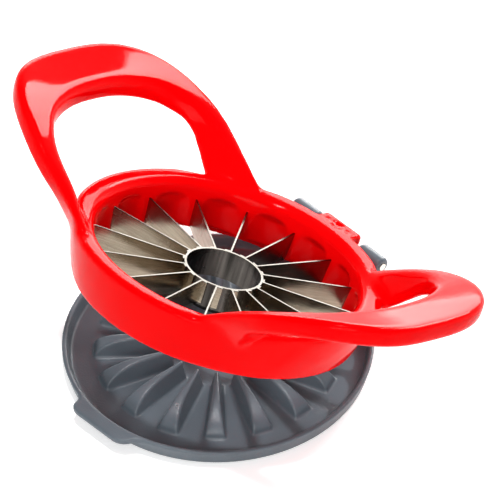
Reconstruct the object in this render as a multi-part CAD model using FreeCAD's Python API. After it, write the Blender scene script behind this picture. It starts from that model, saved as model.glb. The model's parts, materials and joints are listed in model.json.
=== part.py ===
import FreeCAD, Part
import math
import os

# Apple slicer and corer with a hinged base tray, in millimetres.
# The tray stands on the table at z = 0 with its middle at the origin. The hinge is at the back (+Y), along X.
# Everything is drawn with the slicer closed, then the slicer is swung open about the hinge to rest.

# Blades and coring tube
blade_count = 16
blade_thickness = 0.6
blade_height = 10.8
blade_top = 18.2
blade_bevel_height = 2.0
blade_edge_width = 0.12
blade_foot_length = 2.6
blade_grip = 1.7
corer_radius = 15.0
corer_wall = 0.8
corer_edge_drop = 0.6
corer_bevel_height = 1.5
corer_edge_width = 0.15
weld_gap = 0.05
slot_clearance = 0.1

# Ring of the slicer frame
ring_bottom = 4.5
ring_height = 20.8
ring_bottom_radius = 54.5
ring_flare = 5.2
ring_wall_bulge = 0.35
ring_shoulder = 1.8
lip_width = 5.1
lip_rounding = 4.0
throat_taper = 1.4
skirt_thickness = 1.7

# Alcoves in the ring's inner wall, one for every slice
alcove_radius = 11.0
alcove_nose_height = 4.0
alcove_web = 1.2
alcove_arch_rise = 1.8

# Retaining ring that holds the blades from below
retainer_width = 3.0
retainer_height = 4.4
retainer_clearance = 0.1
blade_seat_depth = 3.8

# Loop handles: plan outlines, rise of the top face, section sizes
handle_length = 41.3
handle_inset = 8.8
handle_centre = 17.4
handle_power = 2.96
handle_tip_width = 21.8
leg_width = 13.6
hole_centre = 52.3
hole_power = 2.28
handle_rise = 29.8
root_sink = 0.92
handle_fall_power = 1.74
tip_thickness = 8.2
corner_thickness = 9.5
inner_web_slope = 0.85
inner_spread_slope = 0.2
outer_web_slope = 0.03
outer_tuck_slope = 0.33
web_bottom = 10.5
tip_lean = 0.8
root_lean = 8.8
lean_power = 2.2
inner_top_rounding = 3.0
outer_top_rounding = 1.5
inner_bottom_rounding = 1.5
outer_bottom_rounding = 2.6
leg_root = 28.0
leg_corner_lead = 9.7
leg_steps = 3
tip_fan_angles = [0, 18, 36, 52]

# Hinge
hinge_offset = 0.6
hinge_height = 21.5
resting_opening = 23.4
pin_radius = 1.5
pin_running_clearance = 0.05
pin_proud = 0.2
knuckle_radius = 3.4
knuckle_clearance = 0.4
knuckle_rounding = 1.0
block_left = -9.2
block_right = 9.0
block_overhang = 4.1
block_rounding = 1.2
block_root_height = 13.0
left_knuckle_end = -21.6
right_knuckle_start = 12.6
right_knuckle_end = 24.6
post_foot_height = 2.0
post_shoulder_height = 11.0
bolt_dimple_radius = 2.2
bolt_dimple_depth = 0.8
side_dimple_radius = 3.0
side_dimple_depth = 0.4
side_dimple_offset = 4.9
dimple_forward = 0.75
pin_end_depth = 7.8

# Base tray
tray_side_draft = 1.5
tray_foot_rounding = 1.4
tray_floor = 2.3
rim_top = 7.0
rim_wall = 1.9
rim_rounding = 0.6
rim_clearance = 0.45
tab_half_width = 14.5
tab_overhang = 4.0
tab_thickness = 2.6
tab_corner = 2.0
tab_blend = 3.5
tab_rounding = 0.8

# Pusher ribs of the tray, one under every slice
rib_corer_clearance = 3.0
rib_end_clearance = 2.8
rib_crest_radius = 29.0
rib_top = 10.0
rib_inner_half_width = 2.3
rib_outer_half_width = 4.1
rib_draft = 1.8
rib_rounding = 0.35
core_wall = 1.5
core_inner_end = 8.0
core_outer_end = 6.5
core_roof = 3.2

# Sizes that follow from the ones above
slice_angle = 360.0 / blade_count
blade_bottom = blade_top - blade_height
blade_root_radius = corer_radius + weld_gap
ring_top = ring_bottom + ring_height
ring_top_radius = ring_bottom_radius + ring_flare
lip_edge_radius = ring_top_radius - lip_width
skirt_inner_radius = ring_bottom_radius - skirt_thickness
retainer_radius = skirt_inner_radius - retainer_clearance
retainer_top = blade_bottom + blade_seat_depth
retainer_bottom = retainer_top - retainer_height
throat_radius = retainer_radius - retainer_width
throat_bottom_radius = throat_radius - throat_taper
blade_end_radius = throat_radius + blade_grip
slot_end_radius = blade_end_radius + slot_clearance
slot_half_width = blade_thickness / 2 + slot_clearance
alcove_reach = retainer_radius - alcove_web
alcove_centre_radius = alcove_reach - alcove_radius
alcove_arch_top = blade_top + alcove_arch_rise
handle_reach = ring_top_radius + handle_length
handle_half_width = ring_top_radius - handle_inset
handle_top = ring_top + handle_rise
hole_reach = handle_reach - handle_tip_width
hole_half_width = handle_half_width - leg_width
leg_corner = hole_centre + leg_corner_lead
hinge_back = ring_top_radius + hinge_offset
left_knuckle_start = block_left - knuckle_clearance
pin_hidden_end = left_knuckle_start - pin_end_depth
rib_inner_radius = corer_radius + rib_corer_clearance
rib_outer_radius = throat_bottom_radius - rib_end_clearance
margin = 1.0

up = FreeCAD.Vector(0, 0, 1)
sideways = FreeCAD.Vector(1, 0, 0)
middle = FreeCAD.Vector(0, 0, 0)
hinge_point = FreeCAD.Vector(0, hinge_back, hinge_height)


def point(x, y, z):
    return FreeCAD.Vector(x, y, z)


def line(start, end):
    return Part.LineSegment(start, end).toShape()


def arc(start, through, end):
    return Part.Arc(start, through, end).toShape()


def on_circle(centre, radius, degrees):
    turn = math.radians(degrees)
    return centre + point(radius * math.cos(turn), 0, radius * math.sin(turn))


def polygon_face(corners):
    return Part.Face(Part.makePolygon(corners + [corners[0]]))


def turned_solid(edges):
    profile = Part.Face(Part.Wire(Part.__sortEdges__(edges)))
    return profile.revolve(middle, up, 360)


def slice_copies(shape, first_angle):
    copies = []
    for index in range(blade_count):
        copy = shape.copy()
        copy.rotate(middle, up, first_angle + index * slice_angle)
        copies.append(copy)
    return copies


def edges_near(shape, wanted):
    return [edge for edge in shape.Edges if wanted(edge)]


def swing_open(shape):
    shape.rotate(hinge_point, sideways, -resting_opening)
    return shape


def ring_wall_radius(height):
    # Slightly bulging outer wall of the ring
    share = (height - ring_bottom) / (ring_height - ring_shoulder)
    bulge = 4 * ring_wall_bulge * share * (1 - share)
    return ring_bottom_radius + share * ring_flare + bulge


rim_inner_radius = ring_wall_radius(rim_top) + rim_clearance
tray_top_radius = rim_inner_radius + rim_wall
tray_foot_radius = tray_top_radius - tray_side_draft
tab_reach = tray_top_radius + tab_overhang


def ring_wall_edge(offset, low, high):
    half = (low + high) / 2
    start = point(ring_wall_radius(low) + offset, 0, low)
    end = point(ring_wall_radius(high) + offset, 0, high)
    return arc(start, point(ring_wall_radius(half) + offset, 0, half), end), start, end


def ring_envelope(offset, low, high):
    wall, start, end = ring_wall_edge(offset, low, high)
    bottom = point(0, 0, low)
    top = point(0, 0, high)
    return turned_solid([line(bottom, start), wall, line(end, top), line(top, bottom)])


def ring_blank():
    wall, start, end = ring_wall_edge(0, ring_bottom, ring_top - ring_shoulder)
    shoulder_centre = point(ring_top_radius - ring_shoulder, 0, ring_top - ring_shoulder)
    flat_edge = shoulder_centre + point(0, 0, ring_shoulder)
    shoulder = arc(end, on_circle(shoulder_centre, ring_shoulder, 45), flat_edge)
    bottom = point(0, 0, ring_bottom)
    top = point(0, 0, ring_top)
    return turned_solid([line(bottom, start), wall, shoulder, line(flat_edge, top), line(top, bottom)])


def funnel(low):
    # Space inside the ring: rounded lip, slope down to the blade tops, steep throat below them
    lip_centre = point(lip_edge_radius, 0, ring_top - lip_rounding)
    throat = point(throat_radius, 0, blade_top)
    drop = throat - lip_centre
    tangent_turn = math.degrees(math.acos(lip_rounding / drop.Length))
    lip_end_angle = math.degrees(math.atan2(drop.z, drop.x)) % 360 - tangent_turn
    lip_start = on_circle(lip_centre, lip_rounding, 90)
    lip_end = on_circle(lip_centre, lip_rounding, lip_end_angle)
    lip = arc(lip_start, on_circle(lip_centre, lip_rounding, (90 + lip_end_angle) / 2), lip_end)
    lowest_radius = throat_radius - throat_taper * (blade_top - low) / (blade_top - retainer_bottom)
    mouth = point(lip_edge_radius, 0, ring_top + margin)
    axis_top = point(0, 0, ring_top + margin)
    axis_low = point(0, 0, low)
    lowest = point(lowest_radius, 0, low)
    return turned_solid([
        line(axis_low, lowest), line(lowest, throat), line(throat, lip_end), lip,
        line(lip_start, mouth), line(mouth, axis_top), line(axis_top, axis_low)])


def alcove_cutters(low):
    # Upright cutters with low domed noses between the blades, which leave flat arches in the wall
    depth = throat_radius - alcove_centre_radius
    arch_height = alcove_nose_height * math.sqrt(1 - (depth / alcove_radius) ** 2)
    shoulder = alcove_arch_top - arch_height
    nose = Part.Ellipse(point(alcove_radius, 0, shoulder), point(0, 0, shoulder + alcove_nose_height),
                        point(0, 0, shoulder)).toShape(0, math.pi / 2)
    foot_middle = point(0, 0, low)
    foot_edge = point(alcove_radius, 0, low)
    cutter = turned_solid([
        line(foot_middle, foot_edge), line(foot_edge, point(alcove_radius, 0, shoulder)), nose,
        line(point(0, 0, shoulder + alcove_nose_height), foot_middle)])
    cutter.translate(point(alcove_centre_radius, 0, 0))
    return slice_copies(cutter, 0)


def blade_slots(low, high):
    length = slot_end_radius - throat_bottom_radius + margin
    slot = Part.makeBox(length, 2 * slot_half_width, high - low,
                        point(slot_end_radius - length, -slot_half_width, low))
    return slice_copies(slot, slice_angle / 2)


def rounded_outline(corners, radii):
    # Closed outline through the corners, each rounded by its own radius
    edges = []
    tangents = []
    for index, corner in enumerate(corners):
        to_last = (corners[index - 1] - corner).normalize()
        to_next = (corners[(index + 1) % len(corners)] - corner).normalize()
        half_angle = to_last.getAngle(to_next) / 2
        setback = radii[index] / math.tan(half_angle)
        inward = (to_last + to_next).normalize()
        nearest = corner + inward * (radii[index] / math.sin(half_angle) - radii[index])
        tangents.append((corner + to_last * setback, nearest, corner + to_next * setback))
    for index, (start, through, end) in enumerate(tangents):
        edges.append(arc(start, through, end))
        edges.append(line(end, tangents[(index + 1) % len(tangents)][0]))
    return Part.Wire(edges)


def handle_section(inner, outer):
    # Upright section of a handle. Towards the root the inner face leans away from the hole, the section
    # grows deeper and spreads to meet the ring, and its lower outer corner is tucked in under the top
    def top_at(x):
        fallen = max(handle_reach - x, 0) / (handle_reach - leg_root)
        return handle_top - (handle_rise + root_sink) * fallen ** handle_fall_power

    middle_x = (inner.x + outer.x) / 2
    share = (handle_reach - middle_x) / (handle_reach - leg_root)
    run = max(leg_corner - middle_x, 0)
    lean = tip_lean + (root_lean - tip_lean) * share ** lean_power
    thickness = tip_thickness + (corner_thickness - tip_thickness) * share
    inner_low = max(top_at(inner.x) - thickness - inner_web_slope * run, web_bottom)
    outer_low = max(top_at(outer.x) - thickness - outer_web_slope * run, web_bottom)
    across = (outer - inner).normalize()
    crest = inner + across * lean
    spread = inner - across * (inner_spread_slope * run)
    tucked = outer - across * (outer_tuck_slope * run)
    corners = [point(crest.x, crest.y, top_at(crest.x)), point(outer.x, outer.y, top_at(outer.x)),
               point(tucked.x, tucked.y, outer_low), point(spread.x, spread.y, inner_low)]
    radii = [inner_top_rounding, outer_top_rounding, outer_bottom_rounding, inner_bottom_rounding]
    return rounded_outline(corners, radii)


def loop_handle():
    # One loop handle towards +X, lofted through upright sections from one root round the tip to the other
    def on_outline(centre, reach, half_width, power, angle):
        turn = math.radians(angle)
        x = centre + (reach - centre) * math.cos(turn) ** (2 / power)
        return point(x, half_width * math.sin(turn) ** (2 / power), 0)

    def beside_leg(centre, reach, half_width, power, x):
        share = max(x - centre, 0) / (reach - centre)
        return point(x, half_width * (1 - share ** power) ** (1 / power), 0)

    pairs = []
    for angle in tip_fan_angles:
        inner = on_outline(hole_centre, hole_reach, hole_half_width, hole_power, angle)
        outer = on_outline(handle_centre, handle_reach, handle_half_width, handle_power, angle)
        pairs.append((inner, outer))
    for step in range(leg_steps + 1):
        x = leg_corner + (leg_root - leg_corner) * step / leg_steps
        inner = beside_leg(hole_centre, hole_reach, hole_half_width, hole_power, x)
        outer = beside_leg(handle_centre, handle_reach, handle_half_width, handle_power, x)
        pairs.append((inner, outer))
    sections = []
    for inner, outer in reversed(pairs[1:]):
        sections.append(handle_section(point(inner.x, -inner.y, 0), point(outer.x, -outer.y, 0)))
    for inner, outer in pairs:
        sections.append(handle_section(inner, outer))
    return Part.makeLoft(sections, True, False)


def hinge_block():
    root = ring_bottom_radius
    outer_face = hinge_back + block_overhang
    top_inner = point(block_left, root, ring_top)
    top_outer = point(block_left, outer_face, ring_top)
    waist = point(block_left, outer_face, hinge_height)
    reach = block_overhang * math.sqrt(0.5)
    belly_mid = point(block_left, hinge_back + reach, hinge_height - reach)
    belly = point(block_left, hinge_back, hinge_height - block_overhang)
    root_low = point(block_left, root, block_root_height)
    profile = Part.Face(Part.Wire([
        line(top_inner, top_outer), line(top_outer, waist), arc(waist, belly_mid, belly),
        line(belly, root_low), line(root_low, top_inner)]))
    block = profile.extrude(sideways * (block_right - block_left))
    rounded = edges_near(block, lambda edge: edge.BoundBox.YMin > root + margin
                         and edge.BoundBox.ZMin > ring_top - block_rounding)
    return block.makeFillet(block_rounding, rounded)


def along_pin(radius, start, end):
    return Part.makeCylinder(radius, end - start, point(start, hinge_back, hinge_height), sideways)


def hinge_cuts():
    gap_radius = knuckle_radius + knuckle_clearance
    cuts = [along_pin(pin_radius + pin_running_clearance, block_left - margin, block_right + margin)]
    cuts.append(along_pin(gap_radius, left_knuckle_end - knuckle_clearance, block_left))
    cuts.append(along_pin(gap_radius, block_right, right_knuckle_end + knuckle_clearance))
    cuts.append(Part.makeCylinder(bolt_dimple_radius, bolt_dimple_depth + margin,
                                  point(0, hinge_back - dimple_forward, ring_top - bolt_dimple_depth)))
    for side in (-1, 1):
        centre = point(side * side_dimple_offset, hinge_back - dimple_forward,
                       ring_top + side_dimple_radius - side_dimple_depth)
        cuts.append(Part.makeSphere(side_dimple_radius, centre))
    return cuts


def make_ring_frame():
    handle = loop_handle()
    other = handle.copy()
    other.rotate(middle, up, 180)
    body = ring_blank().fuse([handle, other, hinge_block()])
    seat = Part.makeCylinder(skirt_inner_radius, retainer_top - ring_bottom + margin,
                             point(0, 0, ring_bottom - margin))
    body = body.cut([funnel(ring_bottom - margin), seat])
    body = body.cut(alcove_cutters(ring_bottom - margin))
    body = body.cut(blade_slots(retainer_top - margin, blade_top + slot_clearance))
    return body.cut(hinge_cuts()).removeSplitter()


def make_retainer_ring():
    body = Part.makeCylinder(retainer_radius, retainer_height, point(0, 0, retainer_bottom))
    body = body.cut(funnel(retainer_bottom - margin))
    body = body.cut(alcove_cutters(retainer_bottom - margin))
    return body.cut(blade_slots(blade_bottom - slot_clearance, retainer_top + margin)).removeSplitter()


def make_corer_tube():
    inner_radius = corer_radius - corer_wall
    low = blade_bottom - corer_edge_drop
    corners = [
        point(inner_radius, 0, blade_top), point(corer_radius, 0, blade_top),
        point(corer_radius, 0, low + corer_bevel_height),
        point(inner_radius + corer_edge_width, 0, low), point(inner_radius, 0, low)]
    return polygon_face(corners).revolve(middle, up, 360)


def make_blade():
    # Strip with a ground lower edge, and a foot bent along the coring tube
    half = blade_thickness / 2
    half_edge = blade_edge_width / 2
    bevel_top = blade_bottom + blade_bevel_height
    start = blade_root_radius + half
    section = polygon_face([
        point(start, -half, blade_top), point(start, half, blade_top), point(start, half, bevel_top),
        point(start, half_edge, blade_bottom), point(start, -half_edge, blade_bottom),
        point(start, -half, bevel_top)])
    strip = section.extrude(sideways * (blade_end_radius - start))
    foot_angle = math.degrees(blade_foot_length / blade_root_radius)
    foot_height = blade_top - bevel_top
    foot_base = point(0, 0, bevel_top)
    outer = Part.makeCylinder(blade_root_radius + blade_thickness, foot_height, foot_base, up, foot_angle)
    foot = outer.cut(Part.makeCylinder(blade_root_radius, foot_height, foot_base))
    foot.rotate(middle, up, -math.degrees(half / blade_root_radius))
    return strip.fuse(foot).removeSplitter()


def tray_shell():
    foot = point(tray_foot_radius - tray_foot_rounding, 0, 0)
    foot_centre = foot + point(0, 0, tray_foot_rounding)
    side = on_circle(foot_centre, tray_foot_rounding, 0)
    round_foot = arc(foot, on_circle(foot_centre, tray_foot_rounding, -45), side)
    rim_outer = point(tray_top_radius, 0, rim_top)
    rim_inner = point(rim_inner_radius, 0, rim_top)
    floor_edge = point(ring_wall_radius(tray_floor) + rim_clearance, 0, tray_floor)
    floor_middle = point(0, 0, tray_floor)
    shell = turned_solid([
        line(middle, foot), round_foot, line(side, rim_outer), line(rim_outer, rim_inner),
        line(rim_inner, floor_edge), line(floor_edge, floor_middle), line(floor_middle, middle)])
    rim_edges = edges_near(shell, lambda edge: edge.BoundBox.ZMin > rim_top - rim_rounding
                           and edge.Length > tray_foot_radius)
    return shell.makeFillet(rim_rounding, rim_edges)


def tray_tab():
    # Thumb tab at the front: rounded outer corners, and hollow blends that run out along the rim
    low = rim_top - tab_thickness
    blend_x = tab_half_width + tab_blend
    blend_y = math.sqrt((tray_top_radius + tab_blend) ** 2 - blend_x ** 2)

    def half_outline(side):
        blend_centre = point(side * blend_x, -blend_y, low)
        on_side = point(side * tab_half_width, -blend_y, low)
        on_rim = point(0, 0, low) + (blend_centre - point(0, 0, low)).normalize() * tray_top_radius
        bisector = ((on_side - blend_centre) + (on_rim - blend_centre)).normalize()
        corner_centre = point(side * (tab_half_width - tab_corner), tab_corner - tab_reach, low)
        corner_start = corner_centre + point(side * tab_corner, 0, 0)
        corner_end = corner_centre - point(0, tab_corner, 0)
        reach = tab_corner * math.sqrt(0.5)
        corner_mid = corner_centre + point(side * reach, -reach, 0)
        edges = [arc(on_rim, blend_centre + bisector * tab_blend, on_side), line(on_side, corner_start),
                 arc(corner_start, corner_mid, corner_end)]
        return edges, on_rim, corner_end

    left_edges, left_rim, left_end = half_outline(-1)
    right_edges, right_rim, right_end = half_outline(1)
    outline = left_edges + right_edges + [line(left_end, right_end), line(left_rim, right_rim)]
    tab = Part.Face(Part.Wire(Part.__sortEdges__(outline))).extrude(up * tab_thickness)
    front_edges = edges_near(tab, lambda edge: edge.BoundBox.ZLength < tab_rounding
                             and edge.BoundBox.YMax < tab_corner - tab_reach + tab_rounding)
    return tab.makeFillet(tab_rounding, front_edges)


def rib_half_width(radius):
    share = (radius - rib_inner_radius) / (rib_outer_radius - rib_inner_radius)
    return rib_inner_half_width + share * (rib_outer_half_width - rib_inner_half_width)


def wedge_outline(start, end, inset, height):
    near = rib_half_width(start) - inset
    far = rib_half_width(end) - inset
    corners = [point(start, -near, height), point(end, -far, height), point(end, far, height),
               point(start, near, height)]
    return Part.makePolygon(corners + [corners[0]])


def pusher_rib():
    # Wedge with drafted sides, level crest and an outer end that falls to the floor along a quarter ellipse
    wedge = Part.makeLoft([wedge_outline(rib_inner_radius, rib_outer_radius, 0, tray_floor),
                           wedge_outline(rib_inner_radius, rib_outer_radius, rib_draft, rib_top)], True, True)
    half_span = rib_outer_half_width + margin
    fall = Part.Ellipse(middle, rib_outer_radius - rib_crest_radius, rib_top - tray_floor)
    quarter = Part.Arc(fall, 0, math.pi / 2).toShape()
    quarter.rotate(middle, sideways, 90)
    quarter.translate(point(rib_crest_radius, 0, tray_floor))
    crest = point(rib_crest_radius, 0, rib_top)
    crest_start = point(rib_inner_radius, 0, rib_top)
    floor_start = point(rib_inner_radius, 0, tray_floor)
    floor_end = point(rib_outer_radius, 0, tray_floor)
    side_edges = [quarter, line(crest, crest_start), line(crest_start, floor_start),
                  line(floor_start, floor_end)]
    side_face = Part.Face(Part.Wire(Part.__sortEdges__(side_edges)))
    side_face.translate(point(0, -half_span, 0))
    rib = wedge.common(side_face.extrude(point(0, 2 * half_span, 0)))
    upper = edges_near(rib, lambda edge: edge.BoundBox.ZMax > rib_top - rib_rounding
                       and edge.BoundBox.XLength > rib_rounding)
    rib = rib.makeFillet(rib_rounding, upper)
    return rib.fuse(Part.Face(wedge_outline(rib_inner_radius, rib_outer_radius, 0, tray_floor / 2)).extrude(
        point(0, 0, tray_floor / 2))).removeSplitter()


def rib_core():
    # Hollow moulded into each rib from below
    start = rib_inner_radius + core_inner_end
    end = rib_outer_radius - core_outer_end
    outline = wedge_outline(start, end, core_wall, 0)
    return Part.Face(outline).extrude(point(0, 0, rib_top - core_roof))


def hinge_post(start, end):
    # Knuckle on the pin, and the post that carries it down to the tray's rim
    back = hinge_back + knuckle_radius
    corners = [
        point(start, ring_bottom_radius - margin, hinge_height), point(start, back, hinge_height),
        point(start, back, post_shoulder_height), point(start, tray_foot_radius, post_foot_height),
        point(start, ring_bottom_radius - margin, post_foot_height)]
    post = polygon_face(corners).extrude(sideways * (end - start))
    post = post.common(Part.makeCylinder(back + margin, hinge_height))
    post = post.cut(ring_envelope(rim_clearance, ring_bottom - margin, hinge_height))
    knuckle = along_pin(knuckle_radius, start, end)
    rims = edges_near(knuckle, lambda edge: edge.BoundBox.XLength < margin)
    knuckle = knuckle.makeFillet(knuckle_rounding, rims)
    return post.fuse(knuckle).removeSplitter()


def make_base_tray():
    posts = [hinge_post(left_knuckle_end, left_knuckle_start),
             hinge_post(right_knuckle_start, right_knuckle_end)]
    inside = ring_envelope(rim_clearance, tray_floor, rim_top + margin)
    tab = tray_tab().cut(inside)
    body = tray_shell().fuse(slice_copies(pusher_rib(), 0) + posts + [tab])
    body = body.cut(slice_copies(rib_core(), 0))
    pin_hole = along_pin(pin_radius, pin_hidden_end, right_knuckle_end + margin)
    return body.cut(pin_hole).removeSplitter()


def make_hinge_pin():
    return along_pin(pin_radius, pin_hidden_end, right_knuckle_end + pin_proud)


def save(name, shape):
    shape.exportStep(os.path.join("parts", name + ".step"))
    solids = len(shape.Solids)
    print(name, "solids", solids, "valid", shape.isValid(), "volume", round(shape.Volume, 1))


os.makedirs("parts", exist_ok=True)
save("base_tray", make_base_tray())
save("hinge_pin", make_hinge_pin())
save("ring_frame", swing_open(make_ring_frame()))
save("retainer_ring", swing_open(make_retainer_ring()))
save("corer_tube", swing_open(make_corer_tube()))
for number, blade in enumerate(slice_copies(make_blade(), slice_angle / 2), start=1):
    save("blade_%02d" % number, swing_open(blade))
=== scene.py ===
import json
import math

import bmesh
import bpy
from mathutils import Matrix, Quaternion, Vector


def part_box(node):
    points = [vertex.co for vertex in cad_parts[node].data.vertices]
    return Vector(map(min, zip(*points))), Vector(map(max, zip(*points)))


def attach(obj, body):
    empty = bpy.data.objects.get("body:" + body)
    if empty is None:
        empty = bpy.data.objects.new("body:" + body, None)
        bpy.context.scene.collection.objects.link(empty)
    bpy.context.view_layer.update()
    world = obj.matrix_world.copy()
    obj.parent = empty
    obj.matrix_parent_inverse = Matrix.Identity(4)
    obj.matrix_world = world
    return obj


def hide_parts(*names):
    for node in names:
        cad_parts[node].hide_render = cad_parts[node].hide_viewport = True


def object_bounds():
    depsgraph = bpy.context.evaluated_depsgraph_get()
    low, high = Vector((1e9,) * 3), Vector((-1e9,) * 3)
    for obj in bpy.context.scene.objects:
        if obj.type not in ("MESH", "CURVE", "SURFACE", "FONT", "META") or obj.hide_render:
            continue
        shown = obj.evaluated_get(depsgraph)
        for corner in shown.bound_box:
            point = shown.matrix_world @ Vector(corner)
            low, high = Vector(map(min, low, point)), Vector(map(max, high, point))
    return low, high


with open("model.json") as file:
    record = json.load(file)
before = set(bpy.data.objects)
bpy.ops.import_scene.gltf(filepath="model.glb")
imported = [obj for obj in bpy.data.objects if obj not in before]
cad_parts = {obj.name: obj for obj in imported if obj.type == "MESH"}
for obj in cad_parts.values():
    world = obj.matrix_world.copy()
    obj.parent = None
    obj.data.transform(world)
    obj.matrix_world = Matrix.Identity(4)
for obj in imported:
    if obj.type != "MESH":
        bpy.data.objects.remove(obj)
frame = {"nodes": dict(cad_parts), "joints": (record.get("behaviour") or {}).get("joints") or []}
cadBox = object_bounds()
cadNodes = frame["nodes"]
print("frame loaded,", len(cadNodes), "nodes")

scene = bpy.context.scene
scene.view_settings.view_transform = "Standard"

hinge = frame["joints"][0]
restTilt = math.radians(-hinge["range_deg"][0])  # how far the slicer leans back at rest

# camera: nearly flat view, as through a long lens
photoView = {
    "azimuth": 47.008,
    "elevation": 44.649,
    "roll": -0.954,
    "distance": 7.3375,
    "lens": 1434.26,
    "aim": (-0.0037, 0.0208, 0.0371),
    "sensor": 36,
    "farthest": 20,
}


def placeCamera(view):
    azimuth = math.radians(view["azimuth"])
    elevation = math.radians(view["elevation"])
    level = math.cos(elevation)
    back = Vector((math.sin(azimuth) * level, -math.cos(azimuth) * level, math.sin(elevation)))
    camera = bpy.data.objects.new("photoCamera", bpy.data.cameras.new("photoCamera"))
    camera.data.sensor_width = view["sensor"]
    camera.data.sensor_fit = "HORIZONTAL"
    camera.data.lens = view["lens"]
    camera.data.clip_end = view["farthest"]
    turn = back.to_track_quat("Z", "Y") @ Quaternion((0, 0, 1), math.radians(view["roll"]))
    camera.rotation_euler = turn.to_euler()
    camera.location = Vector(view["aim"]) + back * view["distance"]
    scene.collection.objects.link(camera)
    scene.camera = camera


placeCamera(photoView)
print("camera placed")


# shared node helpers
def addNode(tree, kind, place, **values):
    node = tree.nodes.new(kind)
    node.location = place
    for name, value in values.items():
        setattr(node, name, value)
    return node


def mapRange(tree, source, low, high, place, fromLow=0.0, fromHigh=1.0):
    node = addNode(tree, "ShaderNodeMapRange", place)
    node.inputs["From Min"].default_value = fromLow
    node.inputs["From Max"].default_value = fromHigh
    node.inputs["To Min"].default_value = low
    node.inputs["To Max"].default_value = high
    tree.links.new(source, node.inputs["Value"])
    return node.outputs["Result"]


def mixColours(tree, mask, dark, light, place):
    node = addNode(tree, "ShaderNodeMix", place, data_type="RGBA")
    node.inputs[6].default_value = dark
    node.inputs[7].default_value = light
    tree.links.new(mask, node.inputs[0])
    return node.outputs[2]


def addBump(tree, height, depth, strength, shader, place):
    node = addNode(tree, "ShaderNodeBump", place)
    node.inputs["Distance"].default_value = depth
    node.inputs["Strength"].default_value = strength
    tree.links.new(height, node.inputs["Height"])
    tree.links.new(node.outputs["Normal"], shader.inputs["Normal"])


def startMaterial(name):
    material = bpy.data.materials.new(name)
    material.use_nodes = True
    tree = material.node_tree
    shader = tree.nodes["Principled BSDF"]
    coords = addNode(tree, "ShaderNodeTexCoord", (-1200, 0))
    mapping = addNode(tree, "ShaderNodeMapping", (-1000, 0))
    tree.links.new(coords.outputs["Object"], mapping.inputs["Vector"])
    return material, tree, shader, mapping


# moulded plastic: slow colour drift and a fine skin
def buildMouldedSurface():
    group = bpy.data.node_groups.new("mouldedSurface", "ShaderNodeTree")
    group.interface.new_socket("Vector", in_out="INPUT", socket_type="NodeSocketVector")
    group.interface.new_socket("Drift Scale", in_out="INPUT", socket_type="NodeSocketFloat")
    group.interface.new_socket("Skin Scale", in_out="INPUT", socket_type="NodeSocketFloat")
    group.interface.new_socket("Drift", in_out="OUTPUT", socket_type="NodeSocketFloat")
    group.interface.new_socket("Skin", in_out="OUTPUT", socket_type="NodeSocketFloat")
    inlet = addNode(group, "NodeGroupInput", (-600, 0))
    outlet = addNode(group, "NodeGroupOutput", (300, 0))
    layers = (("Drift Scale", "Drift", 2.0), ("Skin Scale", "Skin", 4.0))
    for row, (scaleName, outName, detail) in enumerate(layers):
        noise = addNode(group, "ShaderNodeTexNoise", (-250, -260 * row))
        noise.inputs["Detail"].default_value = detail
        group.links.new(inlet.outputs["Vector"], noise.inputs["Vector"])
        group.links.new(inlet.outputs[scaleName], noise.inputs["Scale"])
        group.links.new(noise.outputs["Fac"], outlet.inputs[outName])
    return group


# ground steel: lines round or along an axis, and soft smudges
def buildGroundSteel():
    group = bpy.data.node_groups.new("groundSteel", "ShaderNodeTree")
    group.interface.new_socket("Vector", in_out="INPUT", socket_type="NodeSocketVector")
    for name in ("Turn", "Rise", "Reach", "Smudge Scale"):
        group.interface.new_socket(name, in_out="INPUT", socket_type="NodeSocketFloat")
    group.interface.new_socket("Lines", in_out="OUTPUT", socket_type="NodeSocketFloat")
    group.interface.new_socket("Smudge", in_out="OUTPUT", socket_type="NodeSocketFloat")
    inlet = addNode(group, "NodeGroupInput", (-1100, 0))
    outlet = addNode(group, "NodeGroupOutput", (300, 0))
    split = addNode(group, "ShaderNodeSeparateXYZ", (-900, 100))
    group.links.new(inlet.outputs["Vector"], split.inputs["Vector"])
    angle = addNode(group, "ShaderNodeMath", (-700, 300), operation="ARCTAN2")
    group.links.new(split.outputs["Y"], angle.inputs[0])
    group.links.new(split.outputs["X"], angle.inputs[1])
    flat = addNode(group, "ShaderNodeCombineXYZ", (-700, 100))
    group.links.new(split.outputs["X"], flat.inputs["X"])
    group.links.new(split.outputs["Y"], flat.inputs["Y"])
    radius = addNode(group, "ShaderNodeVectorMath", (-520, 100), operation="LENGTH")
    group.links.new(flat.outputs["Vector"], radius.inputs[0])
    combine = addNode(group, "ShaderNodeCombineXYZ", (-150, 100))
    sources = (angle.outputs[0], split.outputs["Z"], radius.outputs["Value"])
    for row, (name, source) in enumerate(zip(("Turn", "Rise", "Reach"), sources)):
        times = addNode(group, "ShaderNodeMath", (-340, 300 - 180 * row), operation="MULTIPLY")
        group.links.new(source, times.inputs[0])
        group.links.new(inlet.outputs[name], times.inputs[1])
        group.links.new(times.outputs[0], combine.inputs[row])
    lines = addNode(group, "ShaderNodeTexNoise", (50, 100))
    lines.inputs["Scale"].default_value = 1.0
    lines.inputs["Detail"].default_value = 5.0
    group.links.new(combine.outputs["Vector"], lines.inputs["Vector"])
    smudge = addNode(group, "ShaderNodeTexNoise", (50, -200))
    smudge.inputs["Detail"].default_value = 3.0
    group.links.new(inlet.outputs["Vector"], smudge.inputs["Vector"])
    group.links.new(inlet.outputs["Smudge Scale"], smudge.inputs["Scale"])
    group.links.new(lines.outputs["Fac"], outlet.inputs["Lines"])
    group.links.new(smudge.outputs["Fac"], outlet.inputs["Smudge"])
    return group


noiseBand = (0.3, 0.7)  # the part of a noise's range that counts
lineBand = (0.32, 0.68)
shadedEdgeBlend = 0.0002  # metres over which a blade's flank turns into the darker band painted on its honed edge
mergeGap = 0.000001

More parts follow.
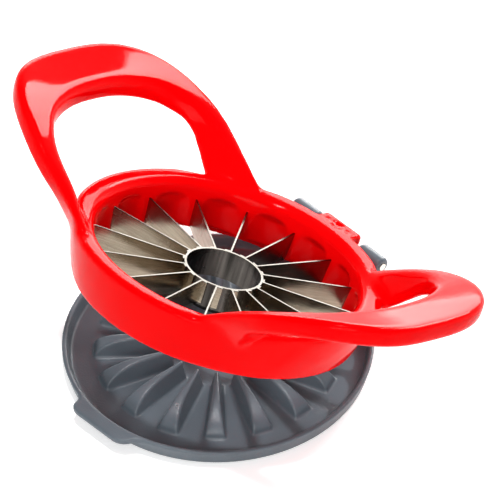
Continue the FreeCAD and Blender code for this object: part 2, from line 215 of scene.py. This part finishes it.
mouldedSurface = buildMouldedSurface()
groundSteel = buildGroundSteel()
print("surface groups built")


def mouldedPlastic(look):
    material, tree, shader, mapping = startMaterial(look["name"])
    surface = addNode(tree, "ShaderNodeGroup", (-780, 0), node_tree=mouldedSurface)
    surface.inputs["Drift Scale"].default_value = look["driftScale"]
    surface.inputs["Skin Scale"].default_value = look["skinScale"]
    tree.links.new(mapping.outputs["Vector"], surface.inputs["Vector"])
    drift = mapRange(tree, surface.outputs["Drift"], 0, 1, (-560, 200), *noiseBand)
    colour = mixColours(tree, drift, look["deep"], look["bright"], (-360, 200))
    tree.links.new(colour, shader.inputs["Base Color"])
    smooth, coarse = look["roughness"]
    rough = mapRange(tree, surface.outputs["Skin"], smooth, coarse, (-360, -60), *noiseBand)
    tree.links.new(rough, shader.inputs["Roughness"])
    shader.inputs["Specular IOR Level"].default_value = look["specular"]
    addBump(tree, surface.outputs["Skin"], look["skinDepth"], 1.0, shader, (-360, -300))
    return material


def groundMetal(look):
    material, tree, shader, mapping = startMaterial(look["name"])
    mapping.inputs["Rotation"].default_value = look["turn"]
    mapping.inputs["Location"].default_value = look["shift"]
    steel = addNode(tree, "ShaderNodeGroup", (-780, 0), node_tree=groundSteel)
    for name in ("Turn", "Rise", "Reach", "Smudge Scale"):
        steel.inputs[name].default_value = look["lines"][name]
    tree.links.new(mapping.outputs["Vector"], steel.inputs["Vector"])
    lines = mapRange(tree, steel.outputs["Lines"], 0, 1, (-560, 200), *lineBand)
    colour = mixColours(tree, lines, look["deep"], look["bright"], (-560, 420))
    height = addNode(tree, "ShaderNodeSeparateXYZ", (-780, 640))
    tree.links.new(mapping.outputs["Vector"], height.inputs[0])
    # the top band of each blade and of the corer gets the dark edge colour: painted shade that holds down
    # the lamps' glint on the honed edge
    shadedEdgeFrom = look["shadedEdgeFrom"]
    edge = mapRange(tree, height.outputs["Z"], 0, 1, (-560, 640), shadedEdgeFrom, shadedEdgeFrom + shadedEdgeBlend)
    shadedEdge = addNode(tree, "ShaderNodeMix", (-280, 420), data_type="RGBA")
    shadedEdge.inputs[7].default_value = look["edge"]
    tree.links.new(edge, shadedEdge.inputs[0])
    tree.links.new(colour, shadedEdge.inputs[6])
    tree.links.new(shadedEdge.outputs[2], shader.inputs["Base Color"])
    smooth, coarse = look["roughness"]
    rough = mapRange(tree, steel.outputs["Smudge"], smooth, coarse, (-360, -60), *noiseBand)
    tree.links.new(rough, shader.inputs["Roughness"])
    shader.inputs["Metallic"].default_value = 1.0
    addBump(tree, steel.outputs["Lines"], look["lineDepth"], 1.0, shader, (-360, -300))
    return material


redGlossLook = {
    "name": "redGloss",
    "deep": (0.86, 0.000, 0.001, 1),
    "bright": (0.92, 0.001, 0.002, 1),
    "driftScale": 30.0,
    "skinScale": 260.0,
    "skinDepth": 0.00002,
    "roughness": (0.04, 0.09),
    "specular": 0.035,
}
greySatinLook = {
    "name": "greySatin",
    "deep": (0.080, 0.101, 0.121, 1),
    "bright": (0.110, 0.137, 0.162, 1),
    "driftScale": 45.0,
    "skinScale": 1400.0,
    "skinDepth": 0.00006,
    "roughness": (0.34, 0.46),
    "specular": 0.5,
}

# paler grey on the gate mark: partly stress whitening of the moulding, partly a painted highlight on its
# ridge
gateWhiteningAndGlintLook = dict(
    greySatinLook,
    name="gateWhiteningAndGlint",
    deep=(0.16, 0.18, 0.20, 1),
    bright=(0.24, 0.26, 0.28, 1),
)

# the cutting disc's own middle, turned upright, so that the steel's lines follow the blades
coreLow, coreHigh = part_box("corer_tube")
coreMiddle = (coreLow + coreHigh) / 2
uprightTurn = Quaternion((1, 0, 0), restTilt)
uprightShift = -(uprightTurn @ coreMiddle)
# depth of the dark band painted along each honed top edge, as painted shade against the lamps' glint
shadedEdgeDepth = 0.0004


def topOf(name):
    corners = cadNodes[name].data.vertices
    return max((uprightTurn @ vertex.co + uprightShift).z for vertex in corners)


bladeSteelLook = {
    "name": "bladeSteel",
    # edge: dark colour painted on the honed top, a painted shade against the lamps' glint
    "edge": (0.090, 0.083, 0.071, 1),
    "shadedEdgeFrom": topOf("blade_01") - shadedEdgeDepth,
    "deep": (0.23, 0.190, 0.140, 1),
    "bright": (0.34, 0.290, 0.220, 1),
    "lines": {"Turn": 0.0, "Rise": 2200.0, "Reach": 60.0, "Smudge Scale": 90.0},
    "lineDepth": 0.00001,
    "roughness": (0.14, 0.30),
    "turn": (restTilt, 0, 0),
    "shift": tuple(uprightShift),
}
corerSteelLook = {
    "name": "corerSteel",
    "edge": (0.090, 0.083, 0.071, 1),
    "shadedEdgeFrom": topOf("corer_tube") - shadedEdgeDepth,
    "deep": (0.020, 0.018, 0.016, 1),
    "bright": (0.12, 0.108, 0.098, 1),
    "lines": {"Turn": 5.0, "Rise": 20.0, "Reach": 0.0, "Smudge Scale": 70.0},
    "lineDepth": 0.00003,
    "roughness": (0.16, 0.32),
    "turn": (restTilt, 0, 0),
    "shift": tuple(uprightShift),
}
pinTurn = math.radians(90)
pinSteelLook = {
    "name": "pinSteel",
    "edge": (0.80, 0.77, 0.70, 1),
    "shadedEdgeFrom": 1.0,  # above the whole pin, so it has no painted dark edge band
    "deep": (0.62, 0.58, 0.50, 1),
    "bright": (0.80, 0.77, 0.70, 1),
    "lines": {"Turn": 3.0, "Rise": 4000.0, "Reach": 900.0, "Smudge Scale": 300.0},
    "lineDepth": 0.00001,
    "roughness": (0.20, 0.34),
    "turn": (0, pinTurn, 0),
    "shift": tuple(-(Quaternion((0, 1, 0), pinTurn) @ Vector(hinge["pos_m"]))),
}

redGloss = mouldedPlastic(redGlossLook)
greySatin = mouldedPlastic(greySatinLook)
gateWhiteningAndGlint = mouldedPlastic(gateWhiteningAndGlintLook)
bladeSteel = groundMetal(bladeSteelLook)
corerSteel = groundMetal(corerSteelLook)
pinSteel = groundMetal(pinSteelLook)


def dressNode(name, material):
    mesh = cadNodes[name].data
    mesh.materials.clear()
    mesh.materials.append(material)


for nodeName in cadNodes:
    if nodeName == "base_tray":
        dressNode(nodeName, greySatin)
    elif nodeName == "hinge_pin":
        dressNode(nodeName, pinSteel)
    elif nodeName == "corer_tube":
        dressNode(nodeName, corerSteel)
    elif nodeName.startswith("blade"):
        dressNode(nodeName, bladeSteel)
    else:
        dressNode(nodeName, redGloss)
print("finishes on the CAD nodes")


def ease(value, low, high):
    share = min(max((value - low) / (high - low), 0), 1)
    return share * share * (3 - 2 * share)


def bakeModifiers(piece):
    settled = piece.evaluated_get(bpy.context.evaluated_depsgraph_get())
    baked = bpy.data.meshes.new_from_object(settled)
    piece.modifiers.clear()
    piece.data = baked
    baked.shade_smooth()


# copies of CAD nodes joined as one even skin, which takes softer edges than their loose triangles
def evenSkin(nodeNames, pieceName, voxel):
    shell = bmesh.new()
    for name in nodeNames:
        shell.from_mesh(cadNodes[name].data)
    bmesh.ops.remove_doubles(shell, verts=shell.verts, dist=mergeGap)
    joined = bpy.data.meshes.new(pieceName + "Guide")
    shell.to_mesh(joined)
    shell.free()
    guide = bpy.data.objects.new(pieceName + "Guide", joined)
    piece = bpy.data.objects.new(pieceName, joined.copy())
    scene.collection.objects.link(guide)
    scene.collection.objects.link(piece)
    skin = piece.modifiers.new("skin", "REMESH")
    skin.mode = "VOXEL"
    skin.voxel_size = voxel
    bakeModifiers(piece)
    fit = piece.modifiers.new("fit", "SHRINKWRAP")
    fit.target = guide
    fit.wrap_method = "NEAREST_SURFACEPOINT"
    bakeModifiers(piece)
    bpy.data.objects.remove(guide)
    return piece


# fewer triangles once the shape is settled
def thinOut(piece, keep):
    thin = piece.modifiers.new("thin", "DECIMATE")
    thin.ratio = keep
    bakeModifiers(piece)


def everywhere(place):
    return 1.0


def softenWhere(piece, name, passes, shareAt):
    group = piece.vertex_groups.new(name=name)
    for vertex in piece.data.vertices:
        share = shareAt(vertex.co)
        if share > 0:
            group.add([vertex.index], share, "REPLACE")
    soften = piece.modifiers.new(name, "SMOOTH")
    soften.factor = 0.5
    soften.iterations = passes
    soften.vertex_group = name


slicerFrameLook = {
    "voxel": 0.0006,
    "keep": 0.66,
    "bodyPasses": 7,
    "throatPasses": 8,
    "insideThroat": (0.0545, 0.0530),
    "hingePasses": 18,
    "hingeFrom": (0.0570, 0.0590),
    "hingeHalf": (0.0120, 0.0100),
    "handlePasses": 55,
    "handleFrom": (0.0605, 0.0660),  # radius where the ring ends and the loops begin
    "besideHinge": (0.027, 0.032),
    "rootPasses": 150,
    "rootMiddle": (0.040, 0.041, 0.018),
    "rootReach": (0.022, 0.008),
    "outsideThroat": (0.0535, 0.0560),
}
hingePoint = Vector(hinge["pos_m"])


def makeSlicerFrame(look):
    piece = evenSkin(("ring_frame", "retainer_ring"), "slicerFrame", look["voxel"])
    rootMiddle = Vector(look["rootMiddle"])

    def closedPlace(place):
        return hingePoint + uprightTurn @ (place - hingePoint)

    def handleShare(place):
        closed = closedPlace(place)
        return ease(closed.xy.length, *look["handleFrom"]) * ease(abs(closed.x), *look["besideHinge"])

    def throatShare(place):
        return ease(closedPlace(place).xy.length, *look["insideThroat"])

    def hingeShare(place):
        closed = closedPlace(place)
        return ease(closed.y, *look["hingeFrom"]) * ease(abs(closed.x), *look["hingeHalf"])

    def rootShare(place):
        closed = closedPlace(place)
        folded = Vector((abs(closed.x), abs(closed.y), closed.z))
        nearRoot = ease((folded - rootMiddle).length, *look["rootReach"])
        return nearRoot * ease(folded.xy.length, *look["outsideThroat"])

    softenWhere(piece, "body", look["bodyPasses"], everywhere)
    softenWhere(piece, "throat", look["throatPasses"], throatShare)
    softenWhere(piece, "hinge", look["hingePasses"], hingeShare)
    softenWhere(piece, "handle", look["handlePasses"], handleShare)
    softenWhere(piece, "root", look["rootPasses"], rootShare)
    bakeModifiers(piece)
    thinOut(piece, look["keep"])
    piece.data.materials.clear()
    piece.data.materials.append(redGloss)
    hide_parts("ring_frame", "retainer_ring")
    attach(piece, "slicer")
    print("slicer frame softened,", len(piece.data.polygons), "faces")


trayLook = {
    "voxel": 0.0006,
    "keep": 0.78,
    "passes": 5,
    "tabFrom": -0.0565,
    "tabTip": -0.0617,
    "tabHalf": 0.0145,
    "tabTipHalf": 0.0095,
    "tabShift": -0.0010,
}


def makeTray(look):
    piece = evenSkin(("base_tray",), "trayShell", look["voxel"])
    softenWhere(piece, "moulded", look["passes"], everywhere)
    bakeModifiers(piece)
    tabLength = look["tabTip"] - look["tabFrom"]
    tabNarrowing = look["tabHalf"] - look["tabTipHalf"]
    for vertex in piece.data.vertices:  # rounder ends on the thumb tab
        share = (vertex.co.y - look["tabFrom"]) / tabLength
        if share > 0:
            share = min(share, 1)
            half = look["tabTipHalf"] + tabNarrowing * math.sqrt(1 - share * share)
            vertex.co.x = vertex.co.x * half / look["tabHalf"] + look["tabShift"] * ease(share, 0, 1)
    thinOut(piece, look["keep"])
    piece.data.materials.clear()
    piece.data.materials.append(greySatin)
    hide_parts("base_tray")
    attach(piece, "base")
    print("tray softened,", len(piece.data.polygons), "faces")
    return piece


makeSlicerFrame(slicerFrameLook)
trayShell = makeTray(trayLook)

# gate mark that the mould leaves on one rib
gateMarkLook = {
    "place": (0.01465, -0.03455),
    "above": 0.03,
    "profile": (
        (0.00035, 0.0),
        (0.00042, 0.00022),
        (0.00075, 0.00026),
        (0.00100, 0.00012),
        (0.00105, -0.0002),
    ),
    "foot": -0.0001,  # the outer edge lies below this, inside the rib
    "steps": 28,
}


def makeGateMark(look, tray):
    above = Vector((*look["place"], look["above"]))
    spot, facing = tray.ray_cast(above, Vector((0, 0, -1)))[1:3]
    ring = bmesh.new()
    corners = [ring.verts.new((radius, 0, height)) for radius, height in look["profile"]]
    edges = [ring.edges.new(pair) for pair in zip(corners, corners[1:])]
    bmesh.ops.spin(ring, geom=corners + edges, cent=(0, 0, 0), axis=(0, 0, 1), angle=math.tau,
                   steps=look["steps"], use_merge=True)
    bmesh.ops.remove_doubles(ring, verts=ring.verts, dist=mergeGap)
    rims = [edge for edge in ring.edges if edge.is_boundary]
    bmesh.ops.contextual_create(ring, geom=[edge for edge in rims if edge.verts[0].co.z > look["foot"]])
    bmesh.ops.recalc_face_normals(ring, faces=ring.faces)
    lean = facing.to_track_quat("Z", "Y").to_matrix().to_4x4()
    bmesh.ops.transform(ring, matrix=lean, verts=ring.verts)
    bmesh.ops.translate(ring, vec=spot, verts=ring.verts)
    mesh = bpy.data.meshes.new("gateMark")
    ring.to_mesh(mesh)
    ring.free()
    mesh.shade_smooth()
    mesh.materials.append(gateWhiteningAndGlint)
    piece = bpy.data.objects.new("gateMark", mesh)
    scene.collection.objects.link(piece)
    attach(piece, "base")
    print("gate mark set at", tuple(round(v, 4) for v in spot))


makeGateMark(gateMarkLook, trayShell)

# floor and light
studio = {
    "floorRadius": 1.6,
    "floorSides": 96,
    "floorDrop": 0.0001,
    "floorColour": (0.86, 0.86, 0.86, 1),
    "floorLift": 0.45,
    "fill": 0.46,
    "zenith": 0.05,
    "horizonBand": (0.15, 0.50),
    "lampsAim": (0, 0, 0.05),
    "softboxes": (
        {
            "name": "keyLamp",
            "place": (-0.10, 0.02, 1.5),
            "size": (0.085, 0.085),
            "power": 11.0,
            "colour": (1, 1, 1),
        },
        {
            "name": "frontSoftbox",
            "place": (0.75, -0.95, 0.75),
            "size": (0.7, 0.7),
            "power": 8.0,
            "colour": (1, 1, 1),
        },
        {
            "name": "backWindow",
            "place": (-0.30, 1.26, 0.51),
            "size": (0.40, 0.38),
            "power": 16.0,
            "colour": (1, 0.97, 0.95),
        },
        {
            "name": "lowGlow",
            "place": (-0.50, 0.70, 0.115),
            "size": (0.60, 0.22),
            "power": 4.0,
            "colour": (1, 0.98, 0.96),
        },
    ),
}


def makeFloor(look):
    mesh = bpy.data.meshes.new("floor")
    sheet = bmesh.new()
    bmesh.ops.create_circle(sheet, cap_ends=True, segments=look["floorSides"], radius=look["floorRadius"])
    sheet.to_mesh(mesh)
    sheet.free()
    floor = bpy.data.objects.new("floor", mesh)
    floor.location.z = cadBox[0][2] - look["floorDrop"]
    scene.collection.objects.link(floor)
    material = bpy.data.materials.new("palePaper")
    material.use_nodes = True
    tree = material.node_tree
    tree.nodes.remove(tree.nodes["Principled BSDF"])
    outlet = tree.nodes["Material Output"]
    paper = addNode(tree, "ShaderNodeBsdfDiffuse", (-200, 100))
    paper.inputs["Color"].default_value = look["floorColour"]
    glow = addNode(tree, "ShaderNodeEmission", (-200, -100))
    rays = addNode(tree, "ShaderNodeLightPath", (-800, -100))
    mirrored = addNode(tree, "ShaderNodeMath", (-600, -100), operation="MAXIMUM")
    tree.links.new(rays.outputs["Is Glossy Ray"], mirrored.inputs[0])
    tree.links.new(rays.outputs["Is Transmission Ray"], mirrored.inputs[1])
    seen = addNode(tree, "ShaderNodeMath", (-500, -100), operation="MAXIMUM")
    tree.links.new(rays.outputs["Is Camera Ray"], seen.inputs[0])
    tree.links.new(mirrored.outputs[0], seen.inputs[1])
    lift = mapRange(tree, seen.outputs[0], 0, look["floorLift"], (-400, -100))
    tree.links.new(lift, glow.inputs["Strength"])
    both = addNode(tree, "ShaderNodeAddShader", (0, 0))
    tree.links.new(paper.outputs[0], both.inputs[0])
    tree.links.new(glow.outputs[0], both.inputs[1])
    tree.links.new(both.outputs[0], outlet.inputs["Surface"])
    mesh.materials.append(material)


def makeWorld(look):
    world = bpy.data.worlds.new("studioWorld")
    scene.world = world
    world.use_nodes = True
    tree = world.node_tree
    sky = tree.nodes["Background"]
    sky.inputs["Color"].default_value = (1, 1, 1, 1)
    coords = addNode(tree, "ShaderNodeTexCoord", (-1000, 200))
    split = addNode(tree, "ShaderNodeSeparateXYZ", (-820, 200))
    tree.links.new(coords.outputs["Generated"], split.inputs[0])
    band = mapRange(tree, split.outputs["Z"], 1.0, look["zenith"], (-640, 200), *look["horizonBand"])
    rays = addNode(tree, "ShaderNodeLightPath", (-820, -100))
    gloss = addNode(tree, "ShaderNodeMix", (-420, 100), data_type="FLOAT")
    gloss.inputs[2].default_value = look["fill"]
    tree.links.new(rays.outputs["Is Glossy Ray"], gloss.inputs[0])
    tree.links.new(band, gloss.inputs[3])
    seen = addNode(tree, "ShaderNodeMath", (-420, -100), operation="MAXIMUM")
    tree.links.new(rays.outputs["Is Camera Ray"], seen.inputs[0])
    tree.links.new(rays.outputs["Is Transmission Ray"], seen.inputs[1])
    backdrop = addNode(tree, "ShaderNodeMix", (-220, 0), data_type="FLOAT")
    backdrop.inputs[3].default_value = 1.0
    tree.links.new(seen.outputs[0], backdrop.inputs[0])
    tree.links.new(gloss.outputs[0], backdrop.inputs[2])
    tree.links.new(backdrop.outputs[0], sky.inputs["Strength"])


def hangSoftbox(box):
    lamp = bpy.data.lights.new(box["name"], "AREA")
    lamp.shape = "RECTANGLE"
    lamp.size, lamp.size_y = box["size"]
    lamp.energy = box["power"]
    lamp.color = box["colour"]
    softbox = bpy.data.objects.new(box["name"], lamp)
    softbox.location = box["place"]
    toObject = Vector(studio["lampsAim"]) - softbox.location
    softbox.rotation_euler = toObject.to_track_quat("-Z", "Y").to_euler()
    softbox.visible_camera = False
    scene.collection.objects.link(softbox)


makeFloor(studio)
makeWorld(studio)
for box in studio["softboxes"]:
    hangSoftbox(box)
print("studio lit")
